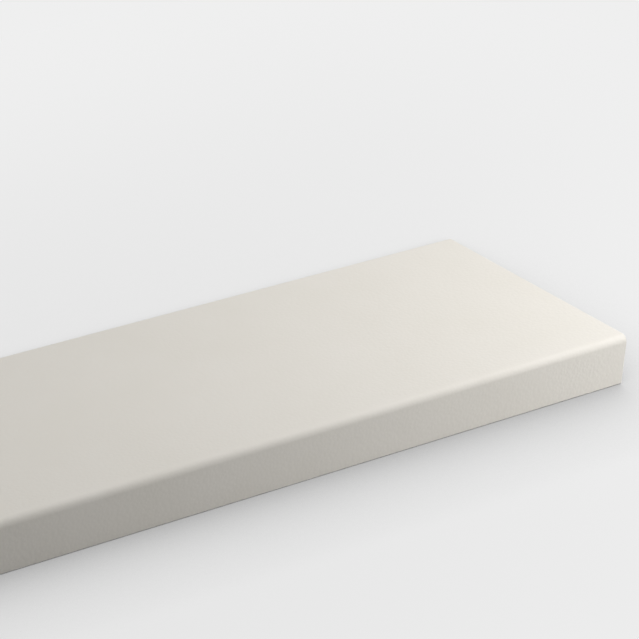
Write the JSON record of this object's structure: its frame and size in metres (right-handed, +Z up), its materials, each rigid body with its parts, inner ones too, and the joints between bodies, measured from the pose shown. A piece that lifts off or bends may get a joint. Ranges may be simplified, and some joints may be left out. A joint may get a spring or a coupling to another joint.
{
  "type": "rubber stair tread",
  "caption": "Smooth off-white rubber stair tread: a flat leaf that thins to the back, with a square nosing that laps over the front edge of a step.",
  "frame": {"origin": "on the floor, in the middle of the tread's outline as it lies", "axes": "+X along the tread, +Y from the nosing towards the back edge, +Z up from the floor"},
  "size_m": [0.914, 0.255, 0.0469],
  "materials": {
    "rubber": "smooth moulded, satin"
  },
  "bodies": {
    "root": {"stair_tread": "rubber"}
  },
  "joints": []
}
